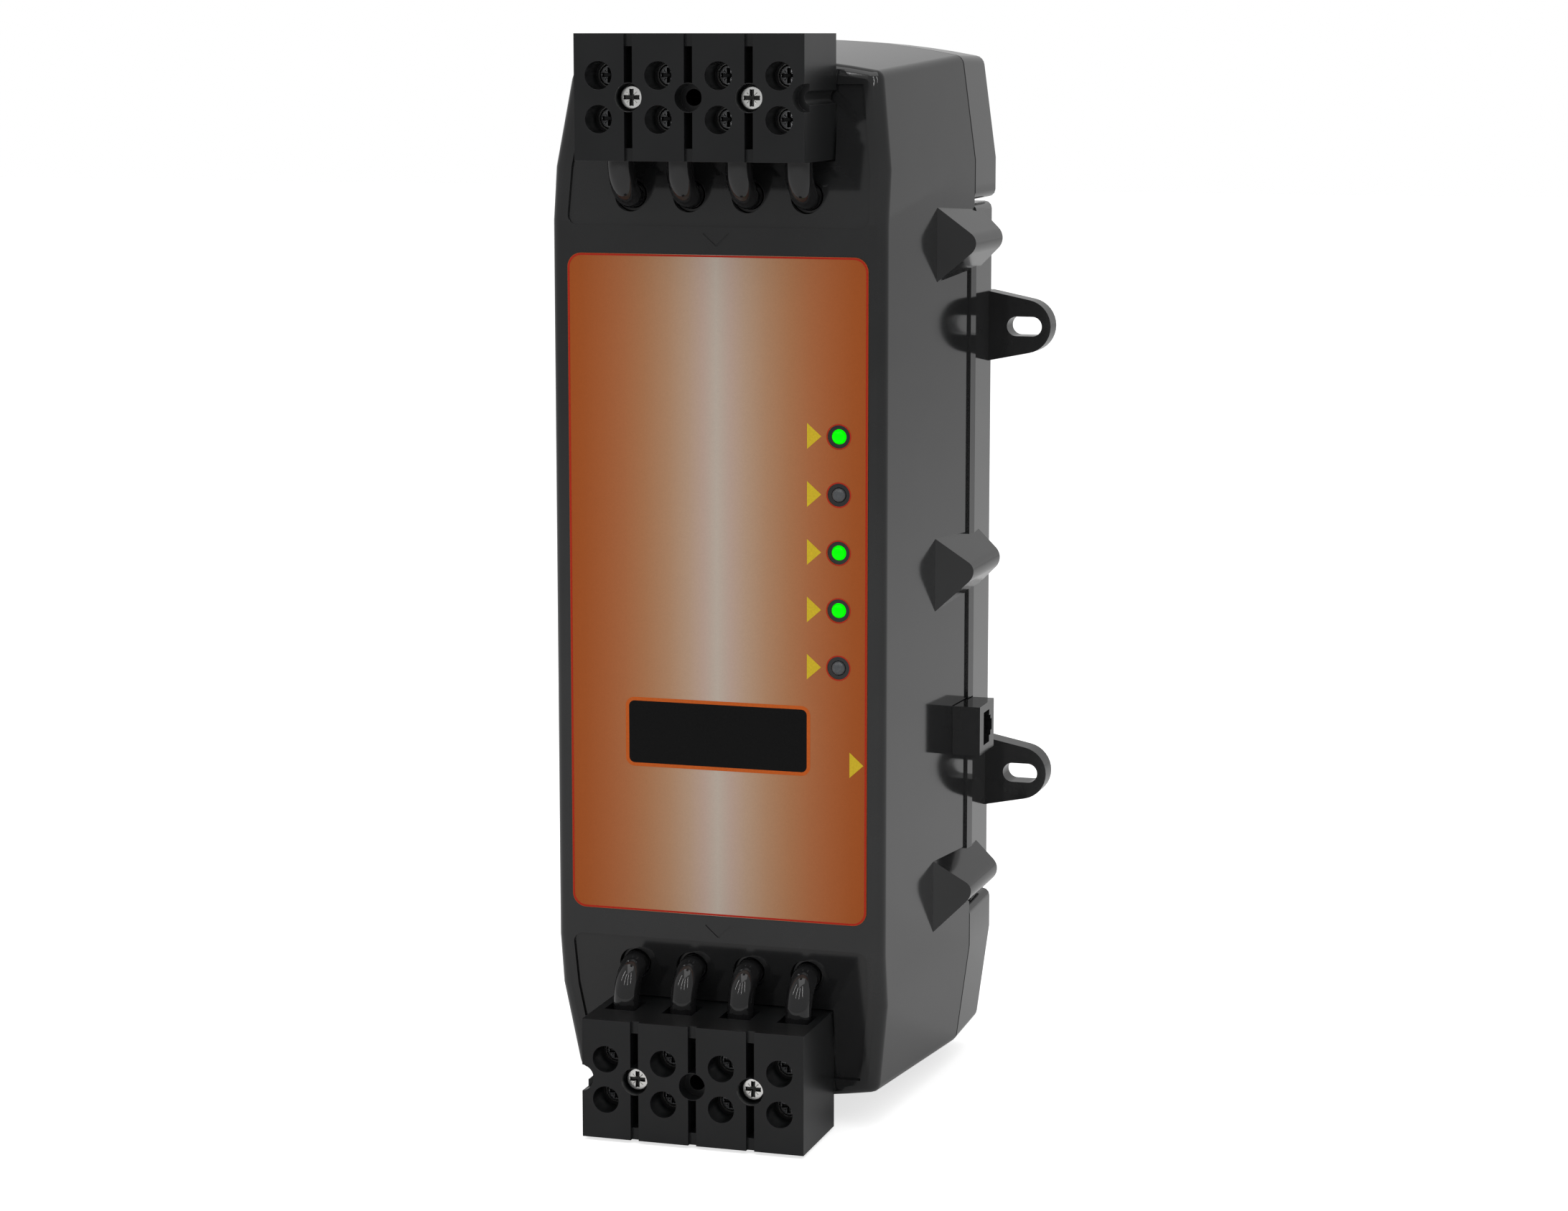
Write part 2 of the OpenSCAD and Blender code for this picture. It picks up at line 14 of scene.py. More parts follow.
import bmesh
import bpy
import numpy as np
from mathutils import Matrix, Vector

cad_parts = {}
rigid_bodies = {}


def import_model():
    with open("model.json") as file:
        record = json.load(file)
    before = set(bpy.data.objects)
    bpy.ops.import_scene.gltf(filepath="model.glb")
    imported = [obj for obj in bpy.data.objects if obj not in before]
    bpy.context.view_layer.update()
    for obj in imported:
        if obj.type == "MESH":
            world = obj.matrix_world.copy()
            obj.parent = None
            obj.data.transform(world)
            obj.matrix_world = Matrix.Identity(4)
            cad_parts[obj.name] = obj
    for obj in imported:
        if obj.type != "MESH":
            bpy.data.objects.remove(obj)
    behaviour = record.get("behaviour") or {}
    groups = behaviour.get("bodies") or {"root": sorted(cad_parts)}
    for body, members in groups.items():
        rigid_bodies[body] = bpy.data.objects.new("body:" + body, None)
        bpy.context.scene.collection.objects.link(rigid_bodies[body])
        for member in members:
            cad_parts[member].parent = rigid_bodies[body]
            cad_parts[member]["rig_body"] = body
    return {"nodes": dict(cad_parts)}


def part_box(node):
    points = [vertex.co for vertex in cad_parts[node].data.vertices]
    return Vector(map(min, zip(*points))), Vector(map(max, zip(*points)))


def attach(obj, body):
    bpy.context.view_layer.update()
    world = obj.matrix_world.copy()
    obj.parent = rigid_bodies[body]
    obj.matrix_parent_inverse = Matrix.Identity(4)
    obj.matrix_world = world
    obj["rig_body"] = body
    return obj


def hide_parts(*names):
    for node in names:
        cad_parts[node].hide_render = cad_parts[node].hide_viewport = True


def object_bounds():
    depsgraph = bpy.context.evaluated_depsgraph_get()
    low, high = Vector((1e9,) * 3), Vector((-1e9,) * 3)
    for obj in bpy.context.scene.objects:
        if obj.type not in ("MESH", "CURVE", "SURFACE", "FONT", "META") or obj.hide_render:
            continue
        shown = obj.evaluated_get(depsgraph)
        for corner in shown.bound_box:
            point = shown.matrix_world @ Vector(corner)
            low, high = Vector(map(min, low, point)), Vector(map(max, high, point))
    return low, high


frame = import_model()
CAD_BOX = [list(corner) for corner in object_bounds()]

log = logging.getLogger("surge_box")

MM = 0.001
ROOT = "housing"
LAMPS = range(1, 6)
EDGE_TURN = 32.0  # degrees; an edge that turns by more is rounded
Colour = tuple[float, float, float]


class End(Enum):
    """The two wiring ends of the box; the value is the direction along Z."""

    LINE = 1
    LOAD = -1

    @property
    def word(self) -> str:
        """The word that starts the names of this end's nodes."""
        return self.name.lower()


class Slot(str, Enum):
    """Names of the record's material slots."""

    CASE = "case_plastic"
    BLOCK = "block_plastic"
    FILM = "label_film"
    LIT = "lens_lit"
    UNLIT = "lens_unlit"
    BRASS = "terminal_brass"
    NICKEL = "terminal_nickel"
    ZINC = "zinc_screw"
    DARK_SCREW = "dark_screw"
    SADDLE = "saddle_steel"
    SHEATH = "wire_sheath"
    BUSHING = "bushing_plastic"


def srgb(red: int, green: int, blue: int) -> Colour:
    """Turn display colour values from 0 to 255 into the linear values that shaders take."""
    def linear(value: int) -> float:
        """Undo the display curve for one channel."""
        part = value / 255
        return part / 12.92 if part <= 0.04045 else ((part + 0.055) / 1.055) ** 2.4
    return linear(red), linear(green), linear(blue)


ZINC_COLOUR = srgb(246, 246, 244)


# ---- Finishes ----


class NodeGraph:
    """A short way to write a node material on Object coordinates."""

    def __init__(self, name: str) -> None:
        """Start a material that holds only a Principled shader and its output."""
        self.material = bpy.data.materials.new(name)
        self.material.use_nodes = True
        self.tree = self.material.node_tree
        self.shader = self.tree.nodes["Principled BSDF"]
        self.coordinates = self.tree.nodes.new("ShaderNodeTexCoord").outputs["Object"]

    def add(self, kind: str, **values: object) -> bpy.types.Node:
        """Add a node, and set its attributes, or its inputs where it has no such attribute.

        Args:
            kind: the node's type without the word ShaderNode.
            **values: attributes by name, and inputs by name with spaces written as underscores.
        """
        node = self.tree.nodes.new("ShaderNode" + kind)
        for key, value in values.items():
            if hasattr(node, key):
                setattr(node, key, value)
            else:
                self.feed(node, key.replace("_", " "), value)
        return node

    def feed(self, node: bpy.types.Node, socket: str | int, value: object) -> None:
        """Link an output to a socket, or set the socket's own value.

        Args:
            node: the node that receives it.
            socket: the input's name or index.
            value: an output socket to link, or a plain value.
        """
        if isinstance(value, bpy.types.NodeSocket):
            self.tree.links.new(value, node.inputs[socket])
        else:
            node.inputs[socket].default_value = value

    def noise(self, scale: float, detail: float = 3.0,
              vector: object = None) -> bpy.types.NodeSocket:
        """Smooth noise from 0 to 1.

        Args:
            scale: waves per metre.
            detail: number of octaves.
            vector: coordinates to read; Object coordinates if left out.
        """
        node = self.add("TexNoise", Scale=scale, Detail=detail)
        self.feed(node, "Vector", vector or self.coordinates)
        return node.outputs["Fac"]

    def stretched(self, factors: Colour, vector: object = None) -> bpy.types.NodeSocket:
        """Coordinates multiplied by a factor for each axis.

        Args:
            factors: the factors along X, Y and Z.
            vector: coordinates to scale; Object coordinates if left out.
        """
        node = self.add("Mapping")
        self.feed(node, "Vector", vector or self.coordinates)
        self.feed(node, "Scale", factors)
        return node.outputs["Vector"]

    def axis(self, name: str) -> bpy.types.NodeSocket:
        """Object coordinate along the axis with the given name."""
        node = self.add("SeparateXYZ")
        self.feed(node, 0, self.coordinates)
        return node.outputs[name]

    def maths(self, operation: str, *values: object) -> bpy.types.NodeSocket:
        """Result of a Math node's operation on outputs or plain values."""
        node = self.add("Math", operation=operation)
        for number, value in enumerate(values):
            self.feed(node, number, value)
        return node.outputs[0]

    def multiplied(self, colour: object, shade: object,
                   amount: float = 1.0) -> bpy.types.NodeSocket:
        """Colour multiplied by a shade.

        Args:
            colour: the output to darken.
            shade: the output that it is multiplied by.
            amount: part of the change that is kept, from 0 to 1.
        """
        node = self.add("Mix", data_type="RGBA", blend_type="MULTIPLY")
        for socket, value in ((0, amount), (6, colour), (7, shade)):
            self.feed(node, socket, value)
        return node.outputs[2]

    def ramp(self, value: object, stops: list[tuple[float, Colour]]) -> bpy.types.NodeSocket:
        """Colour by value along a list of stops.

        Args:
            value: the output that drives the ramp.
            stops: position and linear colour of each stop, in rising order.
        """
        node = self.add("ValToRGB")
        self.feed(node, "Fac", value)
        elements = node.color_ramp.elements
        while len(elements) < len(stops):
            elements.new(0.5)
        for element, (position, colour) in zip(elements, stops):
            element.position = position
            element.color = (*colour, 1.0)
        return node.outputs["Color"]

    def span(self, value: object, low: float, high: float,
             between: tuple[float, float] = (0.0, 1.0)) -> bpy.types.NodeSocket:
        """Spread a value over the range from low to high.

        Args:
            value: the output to spread.
            low: result at the first limit.
            high: result at the second limit.
            between: the two limits of the value.
        """
        node = self.add("MapRange")
        sockets = {"Value": value, "From Min": between[0], "From Max": between[1],
                   "To Min": low, "To Max": high}
        for socket, given in sockets.items():
            self.feed(node, socket, given)
        return node.outputs["Result"]

    def bump(self, heights: list[tuple[object, float, float]]) -> None:
        """Lay bumps over each other and connect them to the shader.

        Args:
            heights: the height output, the height in metres and the strength of each layer.
        """
        normal = None
        for height, distance, strength in heights:
            node = self.add("Bump", Distance=distance, Strength=strength)
            self.feed(node, "Height", height)
            if normal is not None:
                self.feed(node, "Normal", normal)
            normal = node.outputs["Normal"]
        self.feed(self.shader, "Normal", normal)

    def plain(self, **values: object) -> None:
        """Set or link the shader's own sockets, with spaces in their names as underscores."""
        for key, value in values.items():
            self.feed(self.shader, key.replace("_", " "), value)


@dataclass(frozen=True)
class MouldedPlastic:
    """Injection-moulded plastic with a fine spark-eroded grain and slight colour mottling."""

    name: str
    colour: Colour
    roughness: float = 0.35
    grain: float = 9000.0
    grain_height: float = 4e-6
    specular: float = 0.5

    def material(self) -> bpy.types.Material:
        """Build the node material."""
        graph = NodeGraph(self.name)
        mottle = graph.noise(60.0, 4.0)
        lighter = tuple(min(1.0, c * 1.12 + 0.001) for c in self.colour)
        darker = tuple(c * 0.9 for c in self.colour)
        smear = graph.noise(25.0, 5.0, graph.stretched((1.0, 1.0, 0.35)))
        graph.bump([(graph.noise(self.grain, 2.0), self.grain_height, 0.35),
                    (graph.noise(90.0, 2.0), 2e-5, 0.12)])
        graph.plain(Base_Color=graph.ramp(mottle, [(0.3, darker), (0.7, lighter)]),
                    Roughness=graph.span(smear, self.roughness * 0.88, self.roughness * 1.14),
                    Specular_IOR_Level=self.specular)
        return graph.material


@dataclass(frozen=True)
class PlatedMetal:
    """Turned or stamped metal with fine tool lines, uneven plating and painted shade in its
    recess.

    sink holds the heights along Y between which painted shade darkens the metal, from the face
    of a screw's head to the floor of its recess.
    """

    name: str
    colour: Colour
    roughness: float = 0.3
    lines: Colour = (1.0, 14.0, 1.0)
    tarnish: float = 0.85
    sink: tuple[float, float] | None = None

    def material(self) -> bpy.types.Material:
        """Build the node material."""
        graph = NodeGraph(self.name)
        blotch = graph.noise(400.0, 3.0)
        dull = tuple(c * self.tarnish for c in self.colour)
        plated = graph.ramp(blotch, [(0.35, dull), (0.62, self.colour)])
        # Painted shade: the colour darkens towards the floor of a screw's recess, where shade
        # falls.
        if self.sink:
            depth = graph.span(graph.axis("Y"), 0.0, 1.0, self.sink)
            painted_recess_shade = graph.ramp(depth, [(0.0, (1.0,) * 3), (1.0, (0.04,) * 3)])
            plated = graph.multiplied(plated, painted_recess_shade)
        tool = graph.noise(900.0, 2.0, graph.stretched(self.lines))
        graph.bump([(tool, 3e-6, 0.15), (blotch, 4e-6, 0.1)])
        graph.plain(Base_Color=plated, Metallic=1.0,
                    Roughness=graph.span(blotch, self.roughness * 1.3, self.roughness * 0.8))
        return graph.material


@dataclass(frozen=True)
class PrintedFilm:
    """Satin polyester film with a vertical pale band that fades to orange at both sides."""

    name: str = "label_film_print"
    half_width: float = 0.0436
    gain: float = 1.56
    shades: tuple[tuple[float, Colour], ...] = (
        (0.0, srgb(165, 153, 141)), (0.09, srgb(163, 141, 128)), (0.19, srgb(159, 132, 111)),
        (0.33, srgb(154, 117, 89)), (0.48, srgb(150, 103, 70)), (0.62, srgb(148, 91, 56)),
        (0.76, srgb(145, 81, 43)), (0.9, srgb(141, 72, 30)), (1.0, srgb(140, 68, 24)))

    def material(self) -> bpy.types.Material:
        """Build the node material."""
        graph = NodeGraph(self.name)
        part = graph.maths("DIVIDE", graph.maths("ABSOLUTE", graph.axis("X")), self.half_width)
        stops = [(at, tuple(min(0.95, c * self.gain) for c in shade))
                 for at, shade in self.shades]
        fleck = graph.ramp(graph.noise(2500.0, 3.0), [(0.3, (0.7,) * 3), (0.7, (1.0,) * 3)])
        graph.bump([(graph.noise(6000.0, 2.0), 3e-6, 0.3), (graph.noise(35.0, 2.0), 3e-5, 0.1)])
        graph.plain(Base_Color=graph.multiplied(graph.ramp(part, stops), fleck, 0.18),
                    Roughness=graph.span(graph.noise(40.0, 4.0), 0.36, 0.46),
                    Specular_IOR_Level=0.15)
        return graph.material


@dataclass(frozen=True)
class PrintInk:
    """Screen-printed ink with a faintly uneven coat."""

    name: str
    colour: Colour
    roughness: float = 0.4

    def material(self) -> bpy.types.Material:
        """Build the node material."""
        graph = NodeGraph(self.name)
        coat = graph.noise(1800.0, 3.0)
        thin = tuple(min(1.0, c * 1.15 + 0.002) for c in self.colour)
        graph.bump([(coat, 6e-6, 0.25)])
        graph.plain(Base_Color=graph.ramp(coat, [(0.35, self.colour), (0.75, thin)]),
                    Roughness=graph.span(coat, self.roughness * 0.85, self.roughness * 1.2),
                    Specular_IOR_Level=0.12)
        return graph.material


@dataclass(frozen=True)
class LampLens:
    """Tinted resin lens of a status lamp, lit from inside or dark."""

    name: str
    colour: Colour
    glow: float = 0.0

    def material(self) -> bpy.types.Material:
        """Build the node material."""
        graph = NodeGraph(self.name)
        haze = graph.noise(1500.0, 2.0)
        body = 0.3 if self.glow > 0 else 1.0
        deep = tuple(c * body * 0.75 for c in self.colour)
        clear = tuple(c * body for c in self.colour)
        graph.bump([(graph.noise(4000.0, 2.0), 2e-6, 0.2)])
        graph.plain(Base_Color=graph.ramp(haze, [(0.3, deep), (0.7, clear)]),
                    Roughness=graph.span(haze, 0.16, 0.28),
                    Specular_IOR_Level=0.1 if self.glow > 0 else 0.5)
        if self.glow > 0:
            graph.plain(Emission_Color=(*self.colour, 1.0), Emission_Strength=self.glow)
        return graph.material


@dataclass(frozen=True)
class CableSheath:
    """Glossy extruded sheath with faint draw lines along the cable."""

    name: str = "wire_sheath_gloss"
    colour: Colour = (0.0115, 0.0115, 0.012)

    def material(self) -> bpy.types.Material:
        """Build the node material on the sheath's own unwrapped coordinates."""
        graph = NodeGraph(self.name)
        along = graph.add("UVMap", uv_map="UVMap").outputs["UV"]
        lines = graph.noise(1.0, 3.0, graph.stretched((60.0, 3.0, 1.0), along))
        scuff = graph.noise(300.0, 4.0)
        pale = tuple(c * 1.3 for c in self.colour)
        graph.bump([(lines, 6e-6, 0.12)])
        graph.plain(Base_Color=graph.ramp(scuff, [(0.4, self.colour), (0.8, pale)]),
                    Roughness=graph.span(scuff, 0.04, 0.07))
        return graph.material


@dataclass(frozen=True)
class CircuitBoard:
    """Green solder mask over woven glass, with the copper's relief showing through."""

    name: str = "board_mask"

    def material(self) -> bpy.types.Material:
        """Build the node material."""
        graph = NodeGraph(self.name)
        cells = graph.add("TexBrick", Scale=120.0, Mortar_Size=0.03)
        graph.feed(cells, "Vector", graph.coordinates)
        greens = {"Color1": srgb(20, 92, 48), "Color2": srgb(24, 104, 56),
                  "Mortar": srgb(14, 70, 36)}
        for socket, green in greens.items():
            graph.feed(cells, socket, (*green, 1.0))
        graph.bump([(cells.outputs["Fac"], 3e-5, 0.4), (graph.noise(3000.0), 1e-5, 0.2)])
        graph.plain(Base_Color=cells.outputs["Color"],
                    Roughness=graph.span(graph.noise(500.0), 0.3, 0.5))
        return graph.material


# ---- Surfaces ----


def sheet_faces(rows: int, columns: int, wrap_rows: bool) -> np.ndarray:
    """Quads of a grid of closed loops, where point (r, c) has the number r * columns + c.

    Args:
        rows: number of loops.
        columns: number of points in a loop.
        wrap_rows: whether the last loop joins the first.

    Returns:
        One row of four point numbers for each quad.
    """
    r = np.arange(rows if wrap_rows else rows - 1)[:, None]
    c = np.arange(columns)[None, :]
    below, right = (r + 1) % rows, (c + 1) % columns
    corners = [r * columns + c, r * columns + right, below * columns + right, below * columns + c]
    return np.stack([np.broadcast_to(k, (r.size, c.size)) for k in corners], -1).reshape(-1, 4)


def make_piece(name: str, grids: list[np.ndarray], wrap_rows: bool = False,
               sharp: float = 35.0) -> bpy.types.Object:
    """Make one object from grids of points whose rows are closed loops.

    Each grid is a surface r(i, t): i counts the loops and t runs round a loop. The two end
    loops are closed by a fan to their middle point, unless the last loop joins the first.

    Args:
        name: the object's name.
        grids: arrays of shape (loops, points, 3), in metres.
        wrap_rows: whether the last loop joins the first, as on a ring.
        sharp: edges that turn by more than this many degrees stay sharp.

    Returns:
        The new object, linked to the scene.
    """
    points, quads, fans, around = [], [], [], []
    start = 0
    for grid in grids:
        rows, columns = grid.shape[:2]
        points.append(grid.reshape(-1, 3))
        quads.append(sheet_faces(rows, columns, wrap_rows) + start)
        u, v = np.meshgrid(np.linspace(0, 1, columns, endpoint=False), np.linspace(0, 1, rows))
        around.append(np.stack([u, v], -1).reshape(-1, 2))
        size = rows * columns
        if not wrap_rows:
            points.append(np.stack([grid[0].mean(0), grid[-1].mean(0)]))
            around.append(np.array([[0.5, 0.0], [0.5, 1.0]]))
            t = np.arange(columns)
            after = (t + 1) % columns
            last = start + size - columns
            fans.append(np.stack([np.full(columns, start + size), start + after, start + t], -1))
            fans.append(np.stack([np.full(columns, start + size + 1), last + t, last + after],
                                 -1))
            size += 2
        start += size
    faces = np.concatenate(quads).tolist()
    if fans:
        faces += np.concatenate(fans).tolist()
    mesh = bpy.data.meshes.new(name)
    mesh.from_pydata(np.concatenate(points).tolist(), [], faces)
    loops = np.zeros(len(mesh.loops), np.int32)
    mesh.loops.foreach_get("vertex_index", loops)
    layer = mesh.uv_layers.new(name="UVMap")
    layer.data.foreach_set("uv", np.concatenate(around)[loops].astype(np.float32).ravel())
    piece = bpy.data.objects.new(name, mesh)
    bpy.context.scene.collection.objects.link(piece)
    face_outwards(mesh)
    smooth(mesh, sharp)
    return piece


def face_outwards(mesh: bpy.types.Mesh) -> None:
    """Turn every face of a closed mesh outwards."""
    work = bmesh.new()
    work.from_mesh(mesh)
    bmesh.ops.recalc_face_normals(work, faces=work.faces)
    work.to_mesh(mesh)
    work.free()


def smooth(mesh: bpy.types.Mesh, sharp: float) -> None:
    """Shade a mesh smooth, with sharp edges where it turns by more than sharp degrees."""
    mesh.polygons.foreach_set("use_smooth", np.ones(len(mesh.polygons), bool))
    mesh.set_sharp_from_angle(angle=math.radians(sharp))


def unit_circle(count: int) -> np.ndarray:
    """Points of a unit circle, (cos t, sin t) for count equal steps of t."""
    turn = np.linspace(0, 2 * np.pi, count, endpoint=False)
    return np.stack([np.cos(turn), np.sin(turn)], -1)


def lathe(profile: np.ndarray, centre: Colour, count: int = 48) -> np.ndarray:
    """Surface of revolution about a line along Y: p(i, t) = centre + (r cos t, y, r sin t).

    Args:
        profile: rows of radius and height along Y, in metres.
        centre: the point of the axis where the height is zero.
        count: points round the axis.

    Returns:
        Grid of points, one loop for each row of the profile.
    """
    circle = unit_circle(count)
    radius = np.broadcast_to(profile[:, :1], (len(profile), count))
    height = np.broadcast_to(profile[:, 1:], radius.shape)
    grid = np.stack([radius * circle[:, 0], height, radius * circle[:, 1]], -1)
    return grid + np.array(centre)


def loop_at(outline: np.ndarray, y: float) -> np.ndarray:
    """Points of an XZ outline at one height along Y."""
    return np.stack([outline[:, 0], np.full(len(outline), y), outline[:, 1]], -1)


def plate(outline: np.ndarray, front: float, back: float) -> np.ndarray:
    """Flat plate in an XZ outline.

    Args:
        outline: points of a convex outline, as rows of x and z.
        front: y of the front face.
        back: y of the back face.

    Returns:
        Grid of two loops.
    """
    return np.stack([loop_at(outline, front), loop_at(outline, back)])


def band(outer: np.ndarray, inner: np.ndarray, front: float, back: float) -> np.ndarray:
    """Flat ring between two outlines with the same number of points, as a closed tube.

    Args:
        outer: points of the outer outline, as rows of x and z.
        inner: points of the inner outline.
        front: y of the front face.
        back: y of the back face.

    Returns:
        Grid of four loops that join each other in turn.
    """
    corners = [(outer, back), (outer, front), (inner, front), (inner, back)]
    return np.stack([loop_at(outline, y) for outline, y in corners])


def rounded_rectangle(half_x: float, half_z: float, radius: float,
                      centre: tuple[float, float] = (0.0, 0.0), steps: int = 8) -> np.ndarray:
    """Outline of a rectangle with round corners: corner centre plus radius times (cos a, sin a).

    Args:
        half_x: half the width.
        half_z: half the height.
        radius: corner radius.
        centre: x and z of the middle.
        steps: steps of each corner.

    Returns:
        Points in anticlockwise order, as rows of x and z.
    """
    quarter = np.radians(np.linspace(0, 90, steps + 1))[None, :]
    angle = quarter + np.radians([0, 90, 180, 270])[:, None]
    sign = np.array([[1, 1], [-1, 1], [-1, -1], [1, -1]])[:, None, :]
    core = sign * np.array([half_x - radius, half_z - radius])
    arc = radius * np.stack([np.cos(angle), np.sin(angle)], -1)
    return (core + arc).reshape(-1, 2) + np.array(centre)


def sweep(path: np.ndarray, radii: np.ndarray, section: np.ndarray) -> np.ndarray:
    """Profile carried along a path in a plane of constant x.

    p(i, t) = path(i) + radius(i) * (section_x(t) * X + section_n(t) * n(i)), where n is the
    path's normal in the YZ plane.

    Args:
        path: points of the path, in metres.
        radii: radius at each point of the path.
        section: unit section for each path point, shape (path points, loop points, 2).

    Returns:
        Grid of points, one loop for each point of the path.
    """
    run = np.gradient(path, axis=0)
    run /= np.linalg.norm(run, axis=1, keepdims=True)
    normal = np.stack([np.zeros(len(run)), -run[:, 2], run[:, 1]], -1)
    across = np.array([1.0, 0.0, 0.0])
    flat = section * radii[:, None, None]
    return path[:, None, :] + flat[..., :1] * across + flat[..., 1:] * normal[:, None, :]


def softened(node: str, name: str, width: float) -> bpy.types.Object:
    """Copy of a CAD solid whose edges are rounded a little, as moulded and turned edges are.

    The copy's loose triangles are joined, flat areas are made whole faces, and every edge that
    turns by more than EDGE_TURN is bevelled.

    Args:
        node: the CAD node that the copy replaces.
        name: the new piece's name.
        width: width of the rounding in metres, or 0 for none.

    Returns:
        The new piece, already riding on the node's body.
    """
    source = frame["nodes"][node]
    mesh = source.data.copy()
    mesh.name = name
    work = bmesh.new()
    work.from_mesh(mesh)
    bmesh.ops.remove_doubles(work, verts=work.verts, dist=2e-6)
    bmesh.ops.dissolve_limit(work, angle_limit=math.radians(0.4), verts=work.verts,
                             edges=work.edges)
    work.to_mesh(mesh)
    work.free()
    piece = bpy.data.objects.new(name, mesh)
    bpy.context.scene.collection.objects.link(piece)
    smooth(mesh, EDGE_TURN)
    if width > 0:
        bevel = piece.modifiers.new("soft_edges", "BEVEL")
        bevel.width = width
        bevel.segments = 2
        bevel.limit_method = "ANGLE"
        bevel.angle_limit = math.radians(EDGE_TURN)
        bevel.use_clamp_overlap = True
        bevel.harden_normals = True
    weighted = piece.modifiers.new("flat_shading", "WEIGHTED_NORMAL")
    weighted.keep_sharp = True
    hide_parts(node)
    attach(piece, source["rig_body"])
    return piece


def front_middle(low: Vector, high: Vector) -> Colour:
    """Middle of the front side of a box, from its two corners."""
    return (low.x + high.x) / 2, low.y, (low.z + high.z) / 2


def dress(piece: bpy.types.Object, material: bpy.types.Material) -> None:
    """Give a piece its material, and log its name, material and face count.

    Args:
        piece: the object to dress.
        material: its material.
    """
    piece.data.materials.clear()
    piece.data.materials.append(material)
    log.info("%s: %s, %d faces", piece.name, material.name, len(piece.data.polygons))


FINISHES = {
    "case": MouldedPlastic("case_gloss", (0.0125, 0.0128, 0.0132), roughness=0.09,
                           grain_height=1.2e-6),
    "block": MouldedPlastic("block_satin", (0.0085, 0.009, 0.0096), roughness=0.3,
                            specular=0.32),
    "bushing": MouldedPlastic("bushing_satin", (0.016, 0.0165, 0.017), roughness=0.3),
    "film": PrintedFilm(),
    "red_ink": PrintInk("ink_red", srgb(176, 40, 24)),
    "yellow_ink": PrintInk("ink_yellow", srgb(214, 184, 44)),
    "orange_ink": PrintInk("ink_orange", srgb(196, 92, 32)),
    "black_ink": PrintInk("ink_black", (0.002, 0.002, 0.0021), roughness=0.35),
    "lit": LampLens("lens_green_lit", (0.0, 1.0, 0.0), glow=1.0),
    "unlit": LampLens("lens_grey", srgb(84, 87, 90)),
    "zinc": PlatedMetal("zinc_plate", ZINC_COLOUR, roughness=0.24, tarnish=0.93),
    "nickel": PlatedMetal("nickel_sleeve", srgb(150, 150, 148), roughness=0.25),
    "brass": PlatedMetal("terminal_brass_bright", srgb(196, 160, 92), roughness=0.3),
    "copper": PlatedMetal("strand_copper", srgb(184, 112, 76), roughness=0.28),
    "sheath": CableSheath(),
    "board": CircuitBoard(),
    "relay": MouldedPlastic("relay_blue", srgb(36, 58, 120), roughness=0.3),
    "epoxy": MouldedPlastic("varistor_epoxy", srgb(176, 110, 44), roughness=0.4, grain=4000.0),
    "laminate": PlatedMetal("transformer_laminate", srgb(92, 92, 95), roughness=0.5,
                            lines=(1.0, 30.0, 1.0)),
}


class Palette(SimpleNamespace):
    """One material of each finish, made once and shared by the sub-assemblies."""

    def __init__(self) -> None:
        """Build the material of every finish."""
        super().__init__(**{key: finish.material() for key, finish in FINISHES.items()})


# ---- Sub-assemblies ----


@dataclass
class Enclosure:
    """Front housing, rear cover, two end covers and the screws that hold them."""

    palette: Palette
    edge: float = 0.35 * MM
    shells: tuple[str, ...] = ("front_housing", "rear_cover", "line_end_cover",
                               "load_end_cover")

    def build(self) -> None:
        """Round the moulded edges and dress the shells and their screws."""
        for node in self.shells:
            dress(softened(node, node + "_shell", self.edge), self.palette.case)
        screws = softened("cover_screws", "cover_screw_set", 0.08 * MM)
        dress(screws, self.palette.zinc)
        bushings = softened("wire_bushings", "bushing_set", 0.15 * MM)
        dress(bushings, self.palette.bushing)


